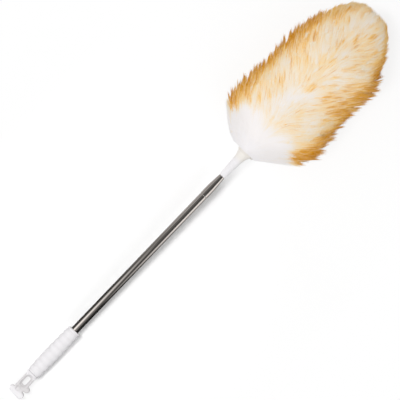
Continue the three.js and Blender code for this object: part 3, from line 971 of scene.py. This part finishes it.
class StageSettings(PropertyGroup):
    """Camera, light and floor."""
    lens: FloatProperty(name="Lens", description="Focal length of the camera", unit="CAMERA", default=500)
    view_width: LengthProperty(
        name="View Width", description="Width of the picture at the pole", default=0.640)
    view_centre: FloatVectorProperty(
        name="View Centre", description="Point of the pole's level in the middle of the picture",
        subtype="XYZ", unit="LENGTH", default=(0.0100, 0.0008, 0.027))
    view_turn: AngleProperty(
        name="View Turn", description="How far the pole rises to the right in the picture",
        default=math.radians(46.26))
    key_power: FloatProperty(
        name="Key Power", description="Power of the large lamp on the left", unit="POWER", default=23)
    fill_power: FloatProperty(
        name="Fill Power", description="Power of the weak lamp on the right", unit="POWER", default=6)
    fill: FloatProperty(
        name="Fill", description="Brightness of the light from all round", min=0, default=0.42)
    glow: ShareProperty(
        name="Floor Glow", description="Share of the floor by the pole that shows plain white", default=0.02)
    wool_glow: ShareProperty(
        name="Wool Floor Glow", description="Share of the floor by the wool that shows plain white",
        default=0.8)


# Operators

class DUSTER_OT_hanging_end(Operator):
    """Mould the hanging end with eased edges"""
    bl_idname = "duster.hanging_end"
    bl_label = "Hanging End"

    def execute(self, context):
        looks = context.scene.duster_plastic
        piece = moulded_copy("hanging_end", "hang_loop", looks.pitch, looks.easing)
        finish_piece(piece, hanger_plastic(looks), "hang_loop")
        return {"FINISHED"}


class DUSTER_OT_grip(Operator):
    """Revolve the grip with smooth finger bands"""
    bl_idname = "duster.grip"
    bl_label = "Grip"

    def execute(self, context):
        looks = context.scene.duster_plastic
        plastic = grip_plastic(looks)
        revolved_piece("grip", "handle_grip", plastic, looks.sides, GRIP_EDGE, smooth_levels=2)
        return {"FINISHED"}


class DUSTER_OT_neck(Operator):
    """Revolve the neck and its bell"""
    bl_idname = "duster.neck"
    bl_label = "Neck"

    def execute(self, context):
        looks = context.scene.duster_plastic
        plastic = neck_plastic(looks)
        revolved_piece("neck_bell", "neck", plastic, looks.sides, NECK_EDGE, smooth_levels=2)
        return {"FINISHED"}


class DUSTER_OT_pole(Operator):
    """Revolve the three tubes and the ferrule in chrome"""
    bl_idname = "duster.pole"
    bl_label = "Pole"

    def execute(self, context):
        looks = context.scene.duster_pole
        chrome = bright_chrome(looks)
        pieces = {
            "pole_outer": "outer_tube",
            "pole_middle": "middle_tube",
            "pole_inner": "inner_tube",
            "pole_ferrule": "ferrule",
        }
        for name, node in pieces.items():
            revolved_piece(name, node, chrome, looks.sides, looks.edge)
        return {"FINISHED"}


class DUSTER_OT_inner_pieces(Operator):
    """Finish the locks and the head's core, which stay as the frame has them"""
    bl_idname = "duster.inner_pieces"
    bl_label = "Inner Pieces"

    def execute(self, context):
        finishes = {
            "nylon": moulded_nylon(),
            "steel": plain_steel(),
            "wood": dowel_wood(),
            "hide": tanned_hide(),
        }
        for node, solid in frame["nodes"].items():
            if SLOT_OF[node] in finishes:
                solid.data.materials.clear()
                solid.data.materials.append(finishes[SLOT_OF[node]])
        return {"FINISHED"}


class DUSTER_OT_wool(Operator):
    """Grow the wool: an undercoat, and locks of dyed strands swept out from the core"""
    bl_idname = "duster.wool"
    bl_label = "Wool"

    def execute(self, context):
        looks = context.scene.duster_wool
        rng = np.random.default_rng(looks.seed)
        skin = undercoat_mesh("wool_undercoat", rings=60, sides=72, scale=0.77)
        finish_piece(add_piece("wool_undercoat", skin), wool_roots(looks), "fleece")
        fibre = lambswool(looks)
        locks = comb_locks(looks, rng)
        for name, chosen in wool_regions(locks, LARGEST_MESH // looks.strands):
            mesh = strand_mesh(name, *draw_strands(locks, chosen, looks, rng))
            strands = add_piece(name, mesh)
            # The undercoat casts the head's shadow, and a strand's light is taken at the strand itself
            strands.visible_shadow = False
            strands.shadow_terminator_geometry_offset = 0.0
            finish_piece(strands, fibre, "fleece")
        return {"FINISHED"}


class DUSTER_OT_hem(Operator):
    """Bind the wool's lower edge with a sewn tape over the bell's rim"""
    bl_idname = "duster.hem"
    bl_label = "Hem"

    def execute(self, context):
        looks = context.scene.duster_wool
        outline = [(RIM + station * MM, radius * MM) for station, radius in HEM_OUTLINE]
        tape = revolve("hem_tape", outline, closed=True, sides=64)
        soften_edges(tape, HEM_EDGE, smooth_levels=2)
        cotton = cotton_tape(looks)
        finish_piece(tape, cotton, "pelt", stands_for=False)
        lump = (SEAM_STATION, SEAM_RADIUS, SEAM_TURN, SEAM_LUMP)
        seam = add_piece("hem_seam", bead_mesh("hem_seam", [lump]))
        finish_piece(seam, cotton, "pelt", stands_for=False)
        size = (STITCH_LENGTH, STITCH_RADIUS, STITCH_RADIUS)
        beads = [(SEAM_STATION, radius, SEAM_TURN + math.radians(turn), size) for turn, radius in STITCH_FAN]
        stitches = add_piece("hem_stitches", bead_mesh("hem_stitches", beads))
        finish_piece(stitches, sewing_thread(looks), "pelt", stands_for=False)
        return {"FINISHED"}


# Cards round the pole that only its reflections show, as a photographer sets them for chrome: the angles
# from straight above toward -Y that each one covers, its tones by the handle and by the head, and where
# they change

CARDS = (
    ("card_left_floor", (-150, -92), (0.06, 0.5), (-0.2, 0.0)),
    ("card_left", (-92, -60), (0.06, 0.3), (-0.16, 0.0)),
    ("card_left_strip", (-60, -44), (0.2, 0.5), (-0.14, 0.0)),
    ("card_softbox", (-44, -4), (1.25, 0.14), (-0.34, -0.08)),
    ("card_overhead", (-4, 14), (0.55, 0.08), (-0.34, -0.14)),
    ("card_overhead_right", (14, 50), (0.24, 0.08), (-0.34, -0.2)),
    ("card_right", (50, 92), (0.03, 1.0), (-0.24, -0.02)),
    ("card_right_floor", (92, 120), (0.012, 0.45), (-0.17, 0.0)),
    ("card_right_under", (120, 165), (0.012, 0.05), (-0.2, 0.0)),
)
CARD_RADIUS = 0.5
LOWEST_ON_ROUND = 92
CARD_SPAN = (-0.42, 1.0)
FLOOR_CARD_SPAN = (-0.42, 0.13)
CARD_TINT = (1.0, 0.95, 0.91)
POLE_HEIGHT = 0.022
LAMP_DISTANCE = 2.0
LAMPS = {"key": (0.6, (-0.2, 0.3, 0.95)), "fill": (1.4, (-0.2, -0.75, 0.62))}
FLOOR_HALF = 6.0

# Where the floor's plain white comes in: toward the wool and the hanging end, where it is painted light that takes
# out most of their shadows, and far beside the pole
WOOL_FLOOR = (0.04, 0.095)
HANGER_FLOOR = (-0.3745, -0.3805)
FAR_FLOOR = (0.1, 0.3)


def sheet(name, corners):
    """A flat piece between four corners."""
    mesh = bpy.data.meshes.new(name)
    mesh.from_pydata(corners, [], [(0, 1, 2, 3)])
    return add_piece(name, mesh)


def card_edge(angle):
    """Where a card's edge is: round the pole at the cards' radius, or on the floor if it is lower."""
    turn = math.radians(abs(angle))
    if abs(angle) <= LOWEST_ON_ROUND:
        out, height = CARD_RADIUS * math.sin(turn), POLE_HEIGHT + CARD_RADIUS * math.cos(turn)
    else:
        out, height = POLE_HEIGHT / math.tan(turn - math.pi / 2), 1 * MM
    return math.copysign(out, -angle), height


def card_material(name, tones, fade):
    """A glow whose tone changes along the pole."""
    material = bpy.data.materials.new(name)
    material.use_nodes = True
    nodes = Nodes(material.node_tree)
    nodes.tree.nodes.clear()
    ahead = nodes.part(nodes.place(), "X")
    tone = nodes.mix(ahead.ramp(*fade), shade(CARD_TINT, tones[0]), shade(CARD_TINT, tones[1]))
    glow = nodes.add("ShaderNodeEmission", {}, {"Color": tone, "Strength": 1.0})
    nodes.add("ShaderNodeOutputMaterial", {}, {"Surface": glow})
    return material


def seen_rays(nodes):
    """1 for the rays that show a background: from the camera, in a reflection or through glass."""
    kinds = [nodes.add("ShaderNodeLightPath", output=kind)
             for kind in ("Is Camera Ray", "Is Glossy Ray", "Is Transmission Ray")]
    return kinds[0] + kinds[1] + kinds[2]


class DUSTER_OT_stage(Operator):
    """Set the floor, the light and the camera"""
    bl_idname = "duster.stage"
    bl_label = "Stage"

    def execute(self, context):
        looks = context.scene.duster_stage
        self.lay_floor(looks)
        self.light(context, looks)
        self.hang_cards()
        self.place_camera(context, looks)
        context.scene.view_settings.view_transform = "Standard"
        return {"FINISHED"}

    def lay_floor(self, looks):
        ways = ((-1, -1), (1, -1), (1, 1), (-1, 1))
        floor = sheet("floor", [(FLOOR_HALF * x, FLOOR_HALF * y, 0) for x, y in ways])
        finish = Finish("white_floor", base_color=(1, 1, 1, 1), roughness=0.9, specular_ior_level=0.0)
        glow = finish.add("ShaderNodeEmission", {}, {"Color": (1, 1, 1, 1), "Strength": 1.0})
        ahead = finish.part(finish.place(), "X")
        beside = finish.part(finish.place(), "Y")
        # Painted light: the floor glows toward the wool and the hanging end, so their shadows fade out there
        shadow_painted_out = ahead.ramp(*WOOL_FLOOR) + ahead.ramp(*HANGER_FLOOR)
        glow_there = looks.glow + (looks.wool_glow - looks.glow) * shadow_painted_out
        far = (beside * beside).ramp(FAR_FLOOR[0] ** 2, FAR_FLOOR[1] ** 2)
        shown = seen_rays(finish) * (glow_there + (1 - glow_there) * far)
        lit = Value(finish, finish.shader.outputs[0])
        surface = finish.add("ShaderNodeMixShader", {}, {0: shown, 1: lit, 2: glow})
        finish.feed(finish.tree.nodes["Material Output"].inputs["Surface"], surface)
        floor.data.materials.append(finish.material)

    def light(self, context, looks):
        for name, (size, way) in LAMPS.items():
            lamp = bpy.data.lights.new(name, "AREA")
            lamp.energy = getattr(looks, f"{name}_power")
            lamp.size = size
            light = bpy.data.objects.new(name, lamp)
            context.scene.collection.objects.link(light)
            light.location = Vector(way).normalized() * LAMP_DISTANCE
            light.rotation_euler = (-light.location).to_track_quat("-Z", "Y").to_euler()
            light.visible_glossy = False
        world = context.scene.world or bpy.data.worlds.new("studio")
        context.scene.world = world
        world.use_nodes = True
        nodes = Nodes(world.node_tree)
        nodes.tree.nodes.clear()
        strength = looks.fill + (1 - looks.fill) * seen_rays(nodes)
        sky = nodes.add("ShaderNodeBackground", {}, {"Color": (1, 1, 1, 1), "Strength": strength})
        nodes.add("ShaderNodeOutputWorld", {}, {"Surface": sky})

    def hang_cards(self):
        for name, angles, tones, fade in CARDS:
            (near_y, near_z), (far_y, far_z) = (card_edge(angle) for angle in angles)
            back, front = CARD_SPAN if max(near_z, far_z) > POLE_HEIGHT else FLOOR_CARD_SPAN
            near, far = PIVOT.y + near_y, PIVOT.y + far_y
            corners = [(back, near, near_z), (front, near, near_z), (front, far, far_z), (back, far, far_z)]
            card = sheet(name, corners)
            card.data.materials.append(card_material(name, tones, fade))
            for ray in ("camera", "diffuse", "transmission", "shadow"):
                setattr(card, f"visible_{ray}", False)

    def place_camera(self, context, looks):
        data = bpy.data.cameras.new("camera")
        data.lens = looks.lens
        data.sensor_width = 36
        camera = bpy.data.objects.new("camera", data)
        context.scene.collection.objects.link(camera)
        distance = looks.view_width * looks.lens / data.sensor_width
        camera.location = Vector(looks.view_centre) + Vector((0, 0, distance))
        camera.rotation_euler = (0, 0, -looks.view_turn)
        data.clip_end = 50
        context.scene.camera = camera


class DUSTER_PT_pieces(Panel):
    """Sizes, colours and steps of the duster"""
    bl_idname = "DUSTER_PT_pieces"
    bl_label = "Extendable Duster"
    bl_space_type = "VIEW_3D"
    bl_region_type = "UI"
    bl_category = "Duster"

    def draw(self, context):
        for title, name, _ in SETTINGS:
            box = self.layout.box()
            box.label(text=title)
            settings = getattr(context.scene, name)
            for field in settings.__annotations__:
                box.prop(settings, field)
        for step in STEPS:
            self.layout.operator(step.bl_idname)


SETTINGS = (
    ("Plastic", "duster_plastic", PlasticSettings),
    ("Pole", "duster_pole", PoleSettings),
    ("Wool", "duster_wool", WoolSettings),
    ("Stage", "duster_stage", StageSettings),
)
STEPS = (
    DUSTER_OT_stage,
    DUSTER_OT_hanging_end,
    DUSTER_OT_grip,
    DUSTER_OT_neck,
    DUSTER_OT_pole,
    DUSTER_OT_inner_pieces,
    DUSTER_OT_wool,
    DUSTER_OT_hem,
)


def register():
    for _, name, group in SETTINGS:
        bpy.utils.register_class(group)
        setattr(bpy.types.Scene, name, PointerProperty(type=group))
    for step in STEPS:
        bpy.utils.register_class(step)
    bpy.utils.register_class(DUSTER_PT_pieces)


def unregister():
    bpy.utils.unregister_class(DUSTER_PT_pieces)
    for step in reversed(STEPS):
        bpy.utils.unregister_class(step)
    for _, name, group in reversed(SETTINGS):
        delattr(bpy.types.Scene, name)
        bpy.utils.unregister_class(group)


def main():
    register()
    bpy.ops.duster.stage()
    bpy.ops.duster.hanging_end()
    bpy.ops.duster.grip()
    bpy.ops.duster.neck()
    bpy.ops.duster.pole()
    bpy.ops.duster.inner_pieces()
    bpy.ops.duster.wool()
    bpy.ops.duster.hem()


if __name__ == "__main__":
    main()
